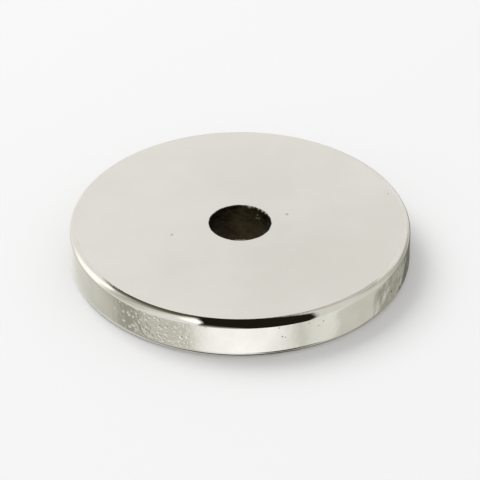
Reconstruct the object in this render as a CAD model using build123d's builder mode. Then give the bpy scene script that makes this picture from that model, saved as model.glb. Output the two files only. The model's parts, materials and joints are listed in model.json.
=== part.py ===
from build123d import *
import os

# A nickel-plated ring magnet, pressed and sintered as one piece, lying on a pole face.
# Millimetres. +Z is the ring's axis. The origin is the centre of the lower pole face.

# Driving dimensions
outer_diameter = 22.5
thickness = 2.8           # from pole face to pole face
bore_diameter = 4.0
rim_edge_radius = 0.45    # the tumbled round where each pole face meets the rim
mouth_edge_radius = 0.12  # the slight round at each mouth of the bore

outer_radius = outer_diameter / 2
bore_radius = bore_diameter / 2
wall_width = outer_radius - bore_radius

with BuildPart() as ring_magnet:
    # Half of the ring's section, standing on the lower pole face beside the axis
    with BuildSketch(Plane.XZ) as wall_section:
        with Locations((bore_radius, 0)):
            Rectangle(wall_width, thickness, align=(Align.MIN, Align.MIN))
        mouth_corners = wall_section.vertices().group_by(Axis.X)[0]
        fillet(mouth_corners, radius=mouth_edge_radius)
        rim_corners = wall_section.vertices().group_by(Axis.X)[-1]
        fillet(rim_corners, radius=rim_edge_radius)
    revolve(axis=Axis.Z)

ring_magnet.part.label = "ring_magnet"

os.makedirs("parts", exist_ok=True)
export_step(ring_magnet.part, "parts/ring_magnet.step")
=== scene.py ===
import json
import math

import bmesh
import bpy
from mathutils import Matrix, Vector


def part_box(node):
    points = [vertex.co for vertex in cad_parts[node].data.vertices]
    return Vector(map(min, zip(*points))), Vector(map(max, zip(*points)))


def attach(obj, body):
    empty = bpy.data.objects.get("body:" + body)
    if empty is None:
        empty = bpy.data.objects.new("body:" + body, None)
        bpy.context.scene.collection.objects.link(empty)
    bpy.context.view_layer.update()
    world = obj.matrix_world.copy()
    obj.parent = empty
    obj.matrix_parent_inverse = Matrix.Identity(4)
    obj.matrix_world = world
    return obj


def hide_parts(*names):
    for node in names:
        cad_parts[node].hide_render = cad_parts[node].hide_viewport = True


# A ring magnet lying on one pole face, on a pale floor in a soft white studio.
# Metres. The ring's axis is +Z, and the camera stands on the -Y side.

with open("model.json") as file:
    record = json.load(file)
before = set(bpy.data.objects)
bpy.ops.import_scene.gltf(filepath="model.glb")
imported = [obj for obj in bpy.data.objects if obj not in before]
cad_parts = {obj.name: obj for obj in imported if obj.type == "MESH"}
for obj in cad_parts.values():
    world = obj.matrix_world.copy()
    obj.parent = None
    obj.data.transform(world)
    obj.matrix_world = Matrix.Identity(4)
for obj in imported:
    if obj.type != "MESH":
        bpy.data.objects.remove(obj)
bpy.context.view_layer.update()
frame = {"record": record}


# Short ways to build node trees

def addNode(tree, kind, **settings):
    node = tree.nodes.new(kind)
    for name, value in settings.items():
        setattr(node, name, value)
    return node


def feed(tree, socket, value):  # value is a socket to link, or a plain value
    if isinstance(value, bpy.types.NodeSocket):
        tree.links.new(value, socket)
    else:
        socket.default_value = value


def calc(tree, operation, first, second=None, clamp=False):
    node = addNode(tree, "ShaderNodeMath", operation=operation, use_clamp=clamp)
    feed(tree, node.inputs[0], first)
    if second is not None:
        feed(tree, node.inputs[1], second)
    return node.outputs[0]


def remap(tree, value, fromLow, fromHigh, toLow=0.0, toHigh=1.0, shape="SMOOTHSTEP"):
    node = addNode(tree, "ShaderNodeMapRange", interpolation_type=shape)
    for socket, number in zip(node.inputs, (value, fromLow, fromHigh, toLow, toHigh)):
        feed(tree, socket, number)
    return node.outputs[0]


def spread(tree, pattern, low, high, reach=0.2):  # a noise's middle range, opened out
    return remap(tree, pattern, 0.5 - reach, 0.5 + reach, low, high)


def mixNumbers(tree, factor, first, second):
    node = addNode(tree, "ShaderNodeMix", data_type="FLOAT", clamp_factor=False)
    feed(tree, node.inputs[0], factor)
    feed(tree, node.inputs[2], first)
    feed(tree, node.inputs[3], second)
    return node.outputs[0]


def mixColours(tree, factor, first, second, blend="MIX"):
    node = addNode(tree, "ShaderNodeMix", data_type="RGBA", blend_type=blend)
    feed(tree, node.inputs[0], factor)
    feed(tree, node.inputs[6], first)
    feed(tree, node.inputs[7], second)
    return node.outputs[2]


def noise(tree, place, scale, detail=2.0, roughness=0.5):
    node = addNode(tree, "ShaderNodeTexNoise")
    feed(tree, node.inputs["Vector"], place)
    node.inputs["Scale"].default_value = scale
    node.inputs["Detail"].default_value = detail
    node.inputs["Roughness"].default_value = roughness
    return node.outputs["Fac"]


def ramp(tree, value, low, high, stops):  # each stop is a place and a colour
    node = addNode(tree, "ShaderNodeValToRGB")
    feed(tree, node.inputs[0], remap(tree, value, low, high, 0.0, 1.0, "LINEAR"))
    elements = node.color_ramp.elements
    while len(elements) < len(stops):
        elements.new(0.5)
    for element, (place, *colour) in zip(elements, stops):
        element.position = (place - low) / (high - low)
        element.color = colour + [1.0]
    return node.outputs[0]


def newMaterial(name):
    material = bpy.data.materials.new(name)
    material.use_nodes = True
    tree = material.node_tree
    return material, tree, tree.nodes["Principled BSDF"]


def objectPlace(tree):
    return addNode(tree, "ShaderNodeTexCoord").outputs["Object"]


# The ring's own sizes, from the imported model

low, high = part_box("ring_magnet")
mountSizes = {m["name"]: m["dims"] for m in frame["record"]["mounts"]}
thickness = high.z - low.z
outerRadius = mountSizes["rim"]["r_mm"] / 1000
boreRadius = mountSizes["bore"]["r_mm"] / 1000
rimEdge = (thickness - mountSizes["rim"]["length_mm"] / 1000) / 2
mouthEdge = (thickness - mountSizes["bore"]["length_mm"] / 1000) / 2
print("ring sizes", outerRadius, boreRadius, thickness, rimEdge, mouthEdge)


# Nickel finishes

def split(tree, place):
    splitter = addNode(tree, "ShaderNodeSeparateXYZ")
    feed(tree, splitter.inputs[0], place)
    return splitter.outputs


def turnFromFront(tree, place):  # radians round the axis, from the -Y side towards +X
    x, y = split(tree, place)[:2]
    return calc(tree, "ARCTAN2", x, calc(tree, "MULTIPLY", y, -1.0))


def distanceTo(tree, place, centre):
    away = addNode(tree, "ShaderNodeVectorMath", operation="DISTANCE")
    feed(tree, away.inputs[0], place)
    away.inputs[1].default_value = centre
    return away.outputs["Value"]


def fromAxis(tree, place):  # the way straight out from the axis, and how far out
    x, y = split(tree, place)[:2]
    level = addNode(tree, "ShaderNodeCombineXYZ")
    feed(tree, level.inputs[0], x)
    feed(tree, level.inputs[1], y)
    reach = addNode(tree, "ShaderNodeVectorMath", operation="LENGTH")
    feed(tree, reach.inputs[0], level.outputs[0])
    return level.outputs[0], reach.outputs["Value"]


spotFade = (0.3, 1.5)  # a spot is full to the first part of its size, and gone at the second


def spot(tree, place, centre, size):
    full, gone = spotFade
    return remap(tree, distanceTo(tree, place, centre), size * full, size * gone, 1.0, 0.0)


def spots(tree, place, centres):  # each is x, y, z and size
    mask = 0.0
    for x, y, z, size in centres:
        mask = calc(tree, "MAXIMUM", mask, spot(tree, place, (x, y, z), size))
    return mask


def addBump(tree, height, depth, normal=None, strength=1.0):
    bump = addNode(tree, "ShaderNodeBump")
    feed(tree, bump.inputs["Strength"], strength)
    bump.inputs["Distance"].default_value = depth
    feed(tree, bump.inputs["Height"], height)
    if normal is not None:
        feed(tree, bump.inputs["Normal"], normal)
    return bump.outputs[0]


def groundNickel():  # the pole faces: ground flat, then plated
    look = {
        "light": (0.822, 0.811, 0.760, 1.0),
        "dull": (0.752, 0.742, 0.690, 1.0),
        "paintedShadeCentre": (0.004, -0.004, 0.0014),  # painted shade: the colour is a little darker round this place, standing in for uneven light on the face
        "paintedShadeReach": (0.001, 0.015),
        "paintedShadeShare": 0.85,
        "cloudScale": 170.0,          # soft patches about 6 mm across
        "cloudShare": 0.15,
        "grainScale": 9000.0,
        "grainDepth": 0.0000012,
        "grainStrength": 0.5,
        "roughness": (0.42, 0.50),
        "pits": [                     # x, y, z and size of the few dark specks
            (-0.00448, -0.00140, thickness, 0.00010),
            (0.00311, 0.00097, thickness, 0.00011),
            (0.0099, 0.0034, thickness, 0.00006),
        ],
        "pitColour": (0.30, 0.275, 0.235, 1.0),
        "pitShare": 0.6,
    }
    material, tree, shader = newMaterial("ground nickel face")
    place = objectPlace(tree)
    clouds = noise(tree, place, look["cloudScale"], 3.0, 0.6)
    grain = noise(tree, place, look["grainScale"], 2.0, 0.5)
    away = distanceTo(tree, place, look["paintedShadeCentre"])
    near, far = look["paintedShadeReach"]
    # painted shade: the face's colour is pulled towards the dull tone round one place
    paintedShade = remap(tree, away, near, far, look["paintedShadeShare"], 0.0, "LINEAR")
    cloudy = spread(tree, clouds, -look["cloudShare"], look["cloudShare"], 0.15)
    paintedShadeAndTone = calc(tree, "ADD", paintedShade, cloudy, clamp=True)
    base = mixColours(tree, paintedShadeAndTone, look["light"], look["dull"])
    pitMask = calc(tree, "MULTIPLY", spots(tree, place, look["pits"]), look["pitShare"])
    base = mixColours(tree, pitMask, base, look["pitColour"])
    feed(tree, shader.inputs["Base Color"], base)
    shader.inputs["Metallic"].default_value = 1.0
    lowRough, highRough = look["roughness"]
    feed(tree, shader.inputs["Roughness"], spread(tree, clouds, lowRough, highRough))
    normal = addBump(tree, grain, look["grainDepth"], strength=look["grainStrength"])
    feed(tree, shader.inputs["Normal"], normal)
    return material


# A stretch of the rim, given by where it starts, is full, fades and ends
def zone(tree, turn, degrees):
    start, full, fade, end = [math.radians(number) for number in degrees]
    rising = remap(tree, turn, start, full)
    return calc(tree, "MULTIPLY", rising, remap(tree, turn, fade, end, 1.0, 0.0))


# The rim and its rounded edges: bright, with slow waves, orange peel and small pits
def tumbledNickel():
    look = {
        "light": (0.80, 0.787, 0.735, 1.0),
        "dull": (0.75, 0.737, 0.680, 1.0),
        "cloudScale": 420.0,
        "swellScale": 520.0,          # slow waves in the pressed wall
        "swellDepth": 0.000040,
        "peelScale": 3600.0,          # fine orange peel
        "peelDepth": 0.0000060,
        "coarse": (-50, -33, -20, -15),  # degrees from the front where the wall sparkles
        "coarseTop": 0.5,             # how coarse it is at the wall's top, where 1 is the foot
        "sparkleScale": 3600.0,
        "sparkleDepth": 0.000038,
        "pitScale": 3600.0,           # cells that may hold one pit each
        "pitSize": 0.52,              # as a part of a cell
        "pitDepth": 0.000045,
        "pitShallow": 0.25,           # the shallowest pit, where 1 is the deepest
        "pitRough": 0.42,             # the pits are matt inside
        "pitShare": (0.006, 0.85),    # cells with a pit: elsewhere, and in the coarse stretch
        "crumpled": [                 # stretches in degrees, and how deep each is
            (38, 56, 84, 100, 1.0), (122, 138, 165, 178, 0.45), (-152, -136, -116, -102, 0.45),
        ],
        "crumpleScale": 1000.0,
        "crumpleDepth": 0.000150,
        "specks": [                   # degrees from the front, depth below the upper edge and size
            (12.8, 0.00012, 0.00006), (13.9, 0.00084, 0.00007), (14.9, 0.00092, 0.00005),
            (26.4, 0.00058, 0.00005), (28.2, 0.00034, 0.00006), (23.0, 0.00022, 0.00004),
            (61.0, 0.00120, 0.00009), (-71.0, 0.00090, 0.00006), (118.0, 0.00070, 0.00007),
            (171.0, 0.00100, 0.00006), (-134.0, 0.00040, 0.00008),
        ],
        "stainScale": 3300.0,         # small dark spots in a few cells
        "stainSize": 0.20,
        "stainShare": 0.015,
        "stain": (0.34, 0.32, 0.27, 1.0),
        "roughness": (0.05, 0.10),    # of the wall between the edges
        "edgeRoughness": 0.0,         # tumbling leaves the rounded edges mirror bright
        "edgeShare": 0.35,            # how much of the waves and peel the edges keep
        "edgeSoft": 0.00001,          # the wall's finish fades out this far into the edges
    }
    material, tree, shader = newMaterial("tumbled nickel rim")
    place = objectPlace(tree)
    height = split(tree, place)[2]
    wallTop, soft = thickness - rimEdge, look["edgeSoft"]
    onWall = calc(tree, "MULTIPLY", remap(tree, height, rimEdge - soft, rimEdge),
                  remap(tree, height, wallTop, wallTop + soft, 1.0, 0.0))
    turn = turnFromFront(tree, place)
    coarse = calc(tree, "MULTIPLY", zone(tree, turn, look["coarse"]), onWall)
    lower = remap(tree, height, rimEdge, wallTop, 1.0, look["coarseTop"])
    coarse = calc(tree, "MULTIPLY", coarse, lower)
    crumpled = 0.0
    for *degrees, weight in look["crumpled"]:
        stretch = calc(tree, "MULTIPLY", zone(tree, turn, degrees), weight)
        crumpled = calc(tree, "MAXIMUM", crumpled, stretch)
    clouds = noise(tree, place, look["cloudScale"], 3.0, 0.6)

    def cells(scale, size):  # a round hollow in each cell, and random numbers for the cell
        grid = addNode(tree, "ShaderNodeTexVoronoi", feature="F1")
        feed(tree, grid.inputs["Vector"], place)
        grid.inputs["Scale"].default_value = scale
        hollow = remap(tree, grid.outputs["Distance"], 0.0, size, 1.0, 0.0)
        return hollow, split(tree, grid.outputs["Color"])

    few, many = look["pitShare"]
    hollow, chance = cells(look["pitScale"], look["pitSize"])
    chosen = calc(tree, "LESS_THAN", chance[0], mixNumbers(tree, coarse, few, many))
    chosen = calc(tree, "MULTIPLY", chosen, onWall)
    depth = remap(tree, chance[1], 0.0, 1.0, look["pitShallow"], 1.0, "LINEAR")
    pits = calc(tree, "MULTIPLY", hollow, calc(tree, "MULTIPLY", chosen, depth))
    hollow, chance = cells(look["stainScale"], look["stainSize"])
    stained = calc(tree, "MULTIPLY", onWall, calc(tree, "LESS_THAN", chance[0], look["stainShare"]))
    stains = calc(tree, "MULTIPLY", hollow, stained)
    specks = []
    for degrees, below, size in look["specks"]:
        angle = math.radians(degrees)
        x, y = outerRadius * math.sin(angle), -outerRadius * math.cos(angle)
        specks.append((x, y, wallTop - below, size))
    stains = calc(tree, "MAXIMUM", stains, spots(tree, place, specks))
    base = mixColours(tree, spread(tree, clouds, 0.0, 1.0, 0.15), look["light"], look["dull"])
    base = mixColours(tree, stains, base, look["stain"])
    feed(tree, shader.inputs["Base Color"], base)
    shader.inputs["Metallic"].default_value = 1.0
    lowRough, highRough = look["roughness"]
    polish = spread(tree, clouds, lowRough, highRough)
    polish = mixNumbers(tree, onWall, look["edgeRoughness"], polish)
    feed(tree, shader.inputs["Roughness"], mixNumbers(tree, pits, polish, look["pitRough"]))
    kept = mixNumbers(tree, onWall, look["edgeShare"], 1.0)
    swell = noise(tree, place, look["swellScale"], 1.0, 0.4)
    crumple = noise(tree, place, look["crumpleScale"], 1.5, 0.5)
    peel = noise(tree, place, look["peelScale"], 2.0, 0.55)
    sparkle = noise(tree, place, look["sparkleScale"], 1.0, 0.5)
    crumpled = calc(tree, "MULTIPLY", crumpled, onWall)
    normal = addBump(tree, swell, look["swellDepth"], strength=kept)
    normal = addBump(tree, crumple, look["crumpleDepth"], normal, crumpled)
    normal = addBump(tree, peel, look["peelDepth"], normal, kept)
    normal = addBump(tree, sparkle, look["sparkleDepth"], normal, coarse)
    normal = addBump(tree, calc(tree, "MULTIPLY", pits, -1.0), look["pitDepth"], normal)
    feed(tree, shader.inputs["Normal"], normal)
    return material


def boreNickel():  # the bore's wall and mouths: thin, dark and rough, their darkness partly thin plating and partly painted shade, with a few painted glints
    look = {
        # partly painted shade: the deep bore's colour is darker than its plating alone
        "dark": (0.016, 0.011, 0.006, 1.0),
        "brown": (0.066, 0.053, 0.027, 1.0),
        "patchScale": 1600.0,
        "patchShare": 0.6,
        "paintedSideShadeSpan": (-0.0022, 0.0022),  # painted shade: the wall is darker towards -X and browner towards +X
        "paintedSideShadeShare": (-0.55, 0.50),
        "grainScale": 9000.0,
        "grainDepth": 0.000012,
        "roughness": (0.32, 0.55),
        "bright": (0.80, 0.787, 0.735, 1.0),
        "lip": 0.00006,                # the plating comes back this far inside the mouth's edge
        "lipFull": 0.3,                # and is full at this part of it
        "lipWander": 0.00008,          # how ragged that edge is
        "lipScale": 2600.0,
        "lipShare": 0.9,
        "paintedGlints": [                    # painted glints, each x, y, z and size
            (0.00116, 0.00163, thickness - 0.00052, 0.00006),
            (0.00127, 0.00155, thickness - 0.00073, 0.00007),
            (0.00110, 0.00167, thickness - 0.00078, 0.00006),
            (0.00187, 0.00072, thickness - 0.00056, 0.00010),
            (0.00192, 0.00056, thickness - 0.00078, 0.00008),
            (0.00066, 0.00200, thickness - 0.00004, 0.00016),
            (0.00092, 0.00187, thickness - 0.00004, 0.00007),
            (0.00125, 0.00165, thickness - 0.00003, 0.00009),
            (0.00150, 0.00141, thickness - 0.00003, 0.00010),
            (0.00172, 0.00115, thickness - 0.00004, 0.00008),
        ],
        "paintedGlintShare": 0.42,
    }
    material, tree, shader = newMaterial("dark bore wall")
    place = objectPlace(tree)
    patches = noise(tree, place, look["patchScale"], 3.0, 0.6)
    grain = noise(tree, place, look["grainScale"], 3.0, 0.6)
    fromX, toX = look["paintedSideShadeSpan"]
    fromShare, toShare = look["paintedSideShadeShare"]
    side = remap(tree, split(tree, place)[0], fromX, toX, fromShare, toShare, "LINEAR")
    tone = calc(tree, "ADD", side, spread(tree, patches, 0.0, look["patchShare"]))
    # painted shade: the bore's colour goes from dark at -X to brown at +X
    base = mixColours(tree, calc(tree, "MAXIMUM", tone, 0.0), look["dark"], look["brown"])
    ragged = calc(tree, "SUBTRACT", noise(tree, place, look["lipScale"], 2.0, 0.5), 0.5)
    ragged = calc(tree, "MULTIPLY", ragged, look["lipWander"])
    reach = calc(tree, "ADD", fromAxis(tree, place)[1], ragged)
    lipEnd = boreRadius + mouthEdge
    lipStart, lipFull = lipEnd - look["lip"], lipEnd - look["lip"] * look["lipFull"]
    platingAndGlints = remap(tree, reach, lipStart, lipFull, 0.0, look["lipShare"])
    # painted highlight: bright glints painted on the wall and mouth where light catches them
    paintedGlints = calc(tree, "MULTIPLY", spots(tree, place, look["paintedGlints"]), look["paintedGlintShare"])
    platingAndGlints = calc(tree, "MAXIMUM", platingAndGlints, paintedGlints)
    # the plated mouth edge and the painted glints share the bright nickel colour
    base = mixColours(tree, platingAndGlints, base, look["bright"])
    feed(tree, shader.inputs["Base Color"], base)
    shader.inputs["Metallic"].default_value = 1.0
    lowRough, highRough = look["roughness"]
    feed(tree, shader.inputs["Roughness"], spread(tree, patches, lowRough, highRough))
    feed(tree, shader.inputs["Normal"], addBump(tree, grain, look["grainDepth"]))
    return material


# The ring: strips of its section, each turned round the axis and welded to the next

ring = {
    "Segments": 480,             # round the axis
    "Face Rings": 12,
    "Edge Rings": 14,
    "Rim Rings": 12,
    "Mouth Rings": 6,
    "Wall Rings": 48,
    "Wall Roughness": 0.00003,   # how far the bore's wall wanders in and out
    "Wall Grain": 3300.0,        # bumps for each metre of wall
}


weldDistance = 1e-7


def ringTree():
    tree = bpy.data.node_groups.new("turned ring", "GeometryNodeTree")
    tree.interface.new_socket("Geometry", in_out="OUTPUT", socket_type="NodeSocketGeometry")
    lengths = ["Outer Radius", "Bore Radius", "Thickness", "Rim Edge", "Mouth Edge"]
    lengths += ["Wall Roughness", "Wall Grain"]
    counts = ["Segments", "Face Rings", "Edge Rings", "Rim Rings", "Mouth Rings", "Wall Rings"]
    finishes = ["Face Finish", "Rim Finish", "Wall Finish"]
    kinds = [(lengths, "Float"), (counts, "Int"), (finishes, "Material")]
    for names, kind in kinds:
        for name in names:
            tree.interface.new_socket(name, in_out="INPUT", socket_type="NodeSocket" + kind)
    given = addNode(tree, "NodeGroupInput").outputs

    position = addNode(tree, "GeometryNodeInputPosition").outputs[0]
    gridX, gridY = split(tree, position)[:2]
    across = calc(tree, "ADD", gridX, 0.5)  # 0 to 1 along the section
    turn = calc(tree, "MULTIPLY", calc(tree, "ADD", gridY, 0.5), 2 * math.pi)
    sine = calc(tree, "SINE", turn)
    frontwards = calc(tree, "MULTIPLY", calc(tree, "COSINE", turn), -1.0)
    closeAtEnds = remap(tree, across, 0.0, 1.0)  # rings crowd towards both ends of a flat

    def turned(rings, radius, height):
        grid = addNode(tree, "GeometryNodeMeshGrid")
        feed(tree, grid.inputs["Vertices X"], calc(tree, "ADD", rings, 1.0))
        feed(tree, grid.inputs["Vertices Y"], calc(tree, "ADD", given["Segments"], 1.0))
        point = addNode(tree, "ShaderNodeCombineXYZ")
        feed(tree, point.inputs[0], calc(tree, "MULTIPLY", radius, sine))
        feed(tree, point.inputs[1], calc(tree, "MULTIPLY", radius, frontwards))
        feed(tree, point.inputs[2], height)
        move = addNode(tree, "GeometryNodeSetPosition")
        feed(tree, move.inputs["Geometry"], grid.outputs["Mesh"])
        feed(tree, move.inputs["Position"], point.outputs[0])
        return move.outputs[0]

    def flat(rings, fromRadius, toRadius, height):
        return turned(rings, mixNumbers(tree, closeAtEnds, fromRadius, toRadius), height)

    def wall(rings, radius, fromHeight, toHeight):
        return turned(rings, radius, mixNumbers(tree, across, fromHeight, toHeight))

    def rounded(rings, centreRadius, centreHeight, size, fromDegrees, toDegrees):
        start, end = math.radians(fromDegrees), math.radians(toDegrees)
        angle = remap(tree, across, 0.0, 1.0, start, end, "LINEAR")
        outwards = calc(tree, "MULTIPLY", size, calc(tree, "COSINE", angle))
        upwards = calc(tree, "MULTIPLY", size, calc(tree, "SINE", angle))
        radius = calc(tree, "ADD", centreRadius, outwards)
        return turned(rings, radius, calc(tree, "ADD", centreHeight, upwards))

    outer, bore, top = given["Outer Radius"], given["Bore Radius"], given["Thickness"]
    edge, mouth = given["Rim Edge"], given["Mouth Edge"]
    edgeRadius = calc(tree, "SUBTRACT", outer, edge)
    mouthRadius = calc(tree, "ADD", bore, mouth)
    topEdge = calc(tree, "SUBTRACT", top, edge)
    topMouth = calc(tree, "SUBTRACT", top, mouth)
    strips = [
        flat(given["Face Rings"], mouthRadius, edgeRadius, top),
        rounded(given["Edge Rings"], edgeRadius, topEdge, edge, 90, 0),
        wall(given["Rim Rings"], outer, topEdge, edge),
        rounded(given["Edge Rings"], edgeRadius, edge, edge, 0, -90),
        flat(given["Face Rings"], edgeRadius, mouthRadius, 0.0),
        rounded(given["Mouth Rings"], mouthRadius, mouth, mouth, -90, -180),
        wall(given["Wall Rings"], bore, mouth, topMouth),
        rounded(given["Mouth Rings"], mouthRadius, topMouth, mouth, 180, 90),
    ]
    joined = addNode(tree, "GeometryNodeJoinGeometry")
    for strip in strips:
        tree.links.new(strip, joined.inputs[0])
    weld = addNode(tree, "GeometryNodeMergeByDistance")
    feed(tree, weld.inputs["Geometry"], joined.outputs[0])
    weld.inputs["Distance"].default_value = weldDistance

    # The bore's wall wanders in and out, and fades to a true ring on the pole faces
    way, distance = fromAxis(tree, position)
    outwards = addNode(tree, "ShaderNodeVectorMath", operation="NORMALIZE")
    feed(tree, outwards.inputs[0], way)
    inside = remap(tree, distance, bore, mouthRadius, 1.0, 0.0)
    bumps = addNode(tree, "ShaderNodeTexNoise")
    feed(tree, bumps.inputs["Vector"], position)
    feed(tree, bumps.inputs["Scale"], given["Wall Grain"])
    bumps.inputs["Detail"].default_value = 3.0
    shift = remap(tree, bumps.outputs["Fac"], 0.0, 1.0, -1.0, 1.0, "LINEAR")
    shift = calc(tree, "MULTIPLY", calc(tree, "MULTIPLY", shift, inside), given["Wall Roughness"])
    push = addNode(tree, "ShaderNodeVectorMath", operation="SCALE")
    feed(tree, push.inputs[0], outwards.outputs[0])
    feed(tree, push.inputs["Scale"], shift)
    roughen = addNode(tree, "GeometryNodeSetPosition")
    feed(tree, roughen.inputs["Geometry"], weld.outputs[0])
    feed(tree, roughen.inputs["Offset"], push.outputs[0])

    smooth = addNode(tree, "GeometryNodeSetShadeSmooth")
    feed(tree, smooth.inputs["Geometry"], roughen.outputs[0])
    realize = addNode(tree, "GeometryNodeRealizeInstances")
    feed(tree, realize.inputs["Geometry"], smooth.outputs[0])
    onRim = calc(tree, "GREATER_THAN", distance, edgeRadius)
    inBore = calc(tree, "LESS_THAN", distance, mouthRadius)
    geometry = realize.outputs[0]
    areas = (("Face Finish", None), ("Rim Finish", onRim), ("Wall Finish", inBore))
    for name, selection in areas:
        paint = addNode(tree, "GeometryNodeSetMaterial")
        feed(tree, paint.inputs["Geometry"], geometry)
        feed(tree, paint.inputs["Material"], given[name])
        if selection is not None:
            feed(tree, paint.inputs["Selection"], selection)
        geometry = paint.outputs[0]
    feed(tree, addNode(tree, "NodeGroupOutput").inputs[0], geometry)
    return tree


def makeRing():
    tree = ringTree()
    inputs = dict(ring)
    inputs.update({
        "Outer Radius": outerRadius,
        "Bore Radius": boreRadius,
        "Thickness": thickness,
        "Rim Edge": rimEdge,
        "Mouth Edge": mouthEdge,
        "Face Finish": groundNickel(),
        "Rim Finish": tumbledNickel(),
        "Wall Finish": boreNickel(),
    })
    maker = bpy.data.objects.new("ring maker", bpy.data.meshes.new("ring maker"))
    bpy.context.scene.collection.objects.link(maker)
    modifier = maker.modifiers.new("turned ring", "NODES")
    modifier.node_group = tree
    for item in tree.interface.items_tree:
        if item.in_out == "INPUT":
            modifier[item.identifier] = inputs[item.name]
    graph = bpy.context.evaluated_depsgraph_get()
    mesh = bpy.data.meshes.new_from_object(maker.evaluated_get(graph))
    bpy.data.objects.remove(maker)
    mesh.name = "nickel ring"
    work = bmesh.new()
    work.from_mesh(mesh)
    bmesh.ops.recalc_face_normals(work, faces=work.faces)
    work.to_mesh(mesh)
    work.free()
    piece = bpy.data.objects.new("nickel_ring", mesh)
    bpy.context.scene.collection.objects.link(piece)
    print("nickel ring:", len(mesh.polygons), "faces,", len(mesh.materials), "finishes")
    return piece


nickelRing = makeRing()
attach(nickelRing, "root")
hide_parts("ring_magnet")


# The studio: floor, light, and what the bright metal mirrors all round it

studio = {
    "floorSize": 1.2,
    "floorColour": (0.81, 0.81, 0.81, 1.0),
    "floorRoughness": 0.9,
    "floorShine": 0.1,
    "backdrop": 0.91,            # what the camera sees past the floor
    "fill": 0.75,                # even light from all round
    "around": (0.92, 0.90, 0.895),  # mirrored wherever nothing below is
    "windows": [                 # from and to azimuth, from and to height, softness, colour
        (-126, -92, -10, 52, 12, (1.35, 1.35, 1.32)),
        (-92, -58, -12, 60, 10, (0.66, 0.65, 0.60)),
        (45, 92, -12, 70, 6, (0.76, 0.75, 0.71)),
        (92, 122, -12, 50, 12, (0.62, 0.61, 0.56)),
        (112, 142, -12, 14, 12, (0.42, 0.41, 0.38)),
    ],
    "tableTop": [(-180, -15), (-96, -18), (-82, -28), (-25, -28), (0, -15), (180, -15)],
    "tableSoft": 5.5,            # the table gives way to the walls about the heights above
    "table": [                   # degrees round from the front, and how bright the table is there
        (-180, 0.58), (-172, 0.90), (-160, 0.90), (-140, 0.77), (-120, 0.70), (-100, 0.58),
        (-87, 0.39), (-77, 0.37), (-64, 0.62), (-52, 0.64), (-37, 0.62), (-30, 0.90), (-24, 1.03),
        (-16, 1.12), (0, 1.22), (20, 1.12), (33, 0.90), (42, 0.69), (53, 0.84), (60, 0.89),
        (68, 0.86), (71.5, 0.67), (102, 0.66), (113, 0.45), (122, 0.33), (138, 0.45),
        (152, 0.17), (170, 0.16), (180, 0.58),
    ],
    "tableWarmth": (0.81, 0.17),  # blue in the dark tones, and how much more there is in white
    "underRing": (-78, -56),     # heights below which the table goes dark, close under the ring
    "underRingTone": (0.10, 0.10, 0.09),
    # What only the mirror-bright edges show: the dark side of the room, as an arch from the front
    # over the top. Along is degrees up from the front and over, aside is degrees to either side.
    "dark": (0.014, 0.0125, 0.0080),
    "darkSide": [                # along, left edge, right edge, width of the lit strip on its left
        (-45, -24.5, 38, 0), (-20, -24.5, 46, 1), (0, -24.8, 48, 3), (20, -22.8, 46.5, 9),
        (40, -20.5, 43, 12.5), (60, -18.5, 36, 9.5), (70, -16.5, 32.5, 6), (80, -15.5, 28, 3),
        (90, -12.5, 22, 1), (100, -10.5, 16, 0), (110, -8.5, 10.5, 0), (120, -5.5, 6.5, 0),
        (130, -3, 3.5, 0), (145, 0, 0.8, 0),
    ],
    "darkSoft": (1.6, 2.6),      # at its left and right edges
    "darkEnd": (137, 144),
    "darkFoot": [                # aside, how far along it ends, and softness there
        (-30, -28, 40), (-18, -28, 40), (-8, -30, 34), (0, -34, 26), (6, -46, 20), (12, -60, 18),
        (20, -70, 10), (60, -70, 10),
    ],
    "lit": (1.35, 1.35, 1.32),
    "litSoft": 4.0,
    "litFull": 9.0,              # a strip narrower than this is dimmer too
    "halfDark": (0.085, 0.074, 0.040),
    "halfSide": [                # aside, from and to along, and cover in hundredths
        (-75, 60, 88, 8), (-60, 70, 98, 22), (-45, 78, 106, 44), (-36, 81, 112, 58),
        (-28, 83, 120, 74), (-20, 84, 127, 90), (-14, 93, 132, 96), (-9, 101, 136, 98),
        (-2, 124, 144, 98), (2, 124, 140, 45), (6, 114, 136, 38), (12, 104, 134, 38),
        (25, 96, 127, 36), (40, 101, 118, 26), (60, 94, 110, 14), (75, 85, 100, 0),
    ],
    "halfSoft": (9, 2.5),        # at its near and far sides
}


def makeFloor():
    mesh = bpy.data.meshes.new("floor")
    half = studio["floorSize"] / 2
    corners = [(-half, -half, 0), (half, -half, 0), (half, half, 0), (-half, half, 0)]
    mesh.from_pydata(corners, [], [(0, 1, 2, 3)])
    floor = bpy.data.objects.new("floor", mesh)
    bpy.context.scene.collection.objects.link(floor)
    material, tree, shader = newMaterial("pale paper")
    shader.inputs["Base Color"].default_value = studio["floorColour"]
    shader.inputs["Roughness"].default_value = studio["floorRoughness"]
    shader.inputs["Specular IOR Level"].default_value = studio["floorShine"]
    mesh.materials.append(material)
    floor.visible_glossy = False  # the metal mirrors the table tones of the surroundings in its place


def past(tree, value, edge, soft):  # 0 before an edge and 1 past it
    return remap(tree, value, calc(tree, "SUBTRACT", edge, soft), calc(tree, "ADD", edge, soft))


def band(tree, value, start, end, soft, endSoft=None):  # 1 between start and end
    beyond = past(tree, value, end, soft if endSoft is None else endSoft)
    return calc(tree, "MULTIPLY", past(tree, value, start, soft), calc(tree, "SUBTRACT", 1.0, beyond))


curveLow, curveSpan = -90.0, 180.0  # the numbers that a curve can hold


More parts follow.
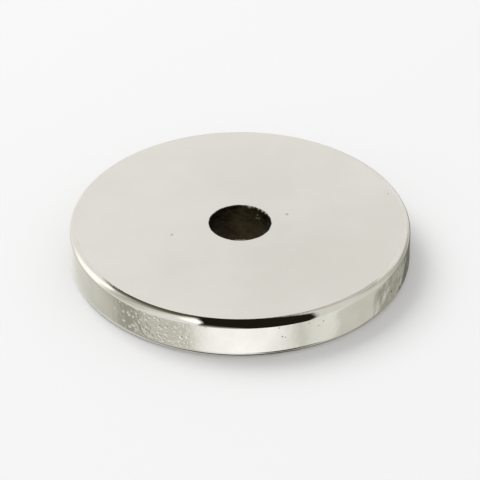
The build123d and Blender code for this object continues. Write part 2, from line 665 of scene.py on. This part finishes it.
def curves(tree, value, stops):  # up to three numbers that change with value, in straight steps
    packed = []
    for place, *numbers in stops:
        padded = (numbers + [0, 0])[:3]
        packed.append((place, *[(number - curveLow) / curveSpan for number in padded]))
    colour = ramp(tree, value, stops[0][0], stops[-1][0], packed)
    scaled = [calc(tree, "MULTIPLY", part, curveSpan) for part in split(tree, colour)]
    return [calc(tree, "ADD", part, curveLow) for part in scaled]


# The surroundings by direction. Sharp is 1 for rays from a mirror-bright surface, which alone
# show the dark side and the lit strip: satin faces would turn grey all over with them.
def mirroredStudio(tree, sharp):
    x, y, z = split(tree, addNode(tree, "ShaderNodeTexCoord").outputs["Generated"])
    toFront = calc(tree, "MULTIPLY", y, -1.0)
    azimuth = calc(tree, "DEGREES", calc(tree, "ARCTAN2", x, toFront))
    height = calc(tree, "DEGREES", calc(tree, "ARCSINE", z))
    aside = calc(tree, "DEGREES", calc(tree, "ARCSINE", x))
    along = calc(tree, "DEGREES", calc(tree, "ARCTAN2", z, toFront))

    colour = studio["around"] + (1.0,)
    for fromTurn, toTurn, fromHeight, toHeight, soft, tint in studio["windows"]:
        inside = calc(tree, "MULTIPLY", band(tree, azimuth, fromTurn, toTurn, soft),
                      band(tree, height, fromHeight, toHeight, soft))
        colour = mixColours(tree, inside, colour, tint + (1.0,))

    blue, moreBlue = studio["tableWarmth"]
    tones = [(turn, tone, tone, tone * (blue + moreBlue * tone)) for turn, tone in studio["table"]]
    table = ramp(tree, azimuth, -180.0, 180.0, tones)
    deep, shallow = studio["underRing"]
    under = studio["underRingTone"] + (1.0,)
    table = mixColours(tree, remap(tree, height, deep, shallow), under, table)
    top = curves(tree, azimuth, studio["tableTop"])[0]
    colour = mixColours(tree, past(tree, height, top, studio["tableSoft"]), table, colour)

    left, right, lit = curves(tree, along, studio["darkSide"])
    foot, footSoft = curves(tree, aside, studio["darkFoot"])[:2]
    start, end, cover = curves(tree, aside, studio["halfSide"])
    leftSoft, rightSoft = studio["darkSoft"]
    inLit = band(tree, aside, calc(tree, "SUBTRACT", left, lit), left, studio["litSoft"], leftSoft)
    brightness = remap(tree, lit, 0.0, studio["litFull"], shape="LINEAR")
    inLit = calc(tree, "MULTIPLY", inLit, brightness)
    colour = mixColours(tree, calc(tree, "MULTIPLY", inLit, sharp), colour, studio["lit"] + (1.0,))
    nearSoft, farSoft = studio["halfSoft"]
    inHalf = calc(tree, "MULTIPLY", band(tree, along, start, end, nearSoft, farSoft), cover)
    inHalf = calc(tree, "MULTIPLY", calc(tree, "DIVIDE", inHalf, 100.0), sharp)
    colour = mixColours(tree, inHalf, colour, studio["halfDark"] + (1.0,))
    fade, gone = studio["darkEnd"]
    inDark = past(tree, along, foot, footSoft)
    inDark = calc(tree, "MULTIPLY", inDark, remap(tree, along, fade, gone, 1.0, 0.0))
    inDark = calc(tree, "MULTIPLY", inDark, band(tree, aside, left, right, leftSoft, rightSoft))
    return mixColours(tree, calc(tree, "MULTIPLY", inDark, sharp), colour, studio["dark"] + (1.0,))


def makeWorld():
    world = bpy.data.worlds.new("soft white studio")
    bpy.context.scene.world = world
    world.use_nodes = True
    tree = world.node_tree
    tree.nodes.clear()
    rays = addNode(tree, "ShaderNodeLightPath")
    fill = (studio["fill"],) * 3 + (1.0,)
    seen = (studio["backdrop"],) * 3 + (1.0,)
    mirrored = mirroredStudio(tree, rays.outputs["Is Singular Ray"])
    colour = mixColours(tree, rays.outputs["Is Glossy Ray"], fill, mirrored)
    colour = mixColours(tree, rays.outputs["Is Camera Ray"], colour, seen)
    background = addNode(tree, "ShaderNodeBackground")
    feed(tree, background.inputs["Color"], colour)
    feed(tree, addNode(tree, "ShaderNodeOutputWorld").inputs["Surface"], background.outputs[0])


softBox = {
    "size": 0.5,
    "place": Vector((-0.35, 0.30, 0.55)),
    "power": 3.0,
}


def makeLight():
    data = bpy.data.lights.new("soft box", "AREA")
    data.shape = "SQUARE"
    data.size = softBox["size"]
    data.energy = softBox["power"]
    light = bpy.data.objects.new("soft box", data)
    light.location = softBox["place"]
    light.rotation_mode = "QUATERNION"
    light.rotation_quaternion = (-softBox["place"]).to_track_quat("-Z", "Y")
    light.visible_glossy = False
    light.visible_camera = False
    bpy.context.scene.collection.objects.link(light)


shot = {
    "distance": 0.2313,
    "elevation": math.radians(34.85),
    "target": Vector((0.0, 0.0, thickness * 0.5)),
    "lens": 262.0,
    "sensor": 36.0,
    "clip": (0.01, 10.0),
}


def makeCamera():
    data = bpy.data.cameras.new("camera")
    data.sensor_width = shot["sensor"]
    data.lens = shot["lens"]
    data.clip_start, data.clip_end = shot["clip"]
    camera = bpy.data.objects.new("camera", data)
    back = Vector((0.0, -math.cos(shot["elevation"]), math.sin(shot["elevation"])))
    camera.location = shot["target"] + back * shot["distance"]
    camera.rotation_mode = "QUATERNION"
    camera.rotation_quaternion = (-back).to_track_quat("-Z", "Y")
    bpy.context.scene.collection.objects.link(camera)
    bpy.context.scene.camera = camera


makeFloor()
makeWorld()
makeLight()
makeCamera()
bpy.context.scene.view_settings.view_transform = "Standard"
print("studio ready")
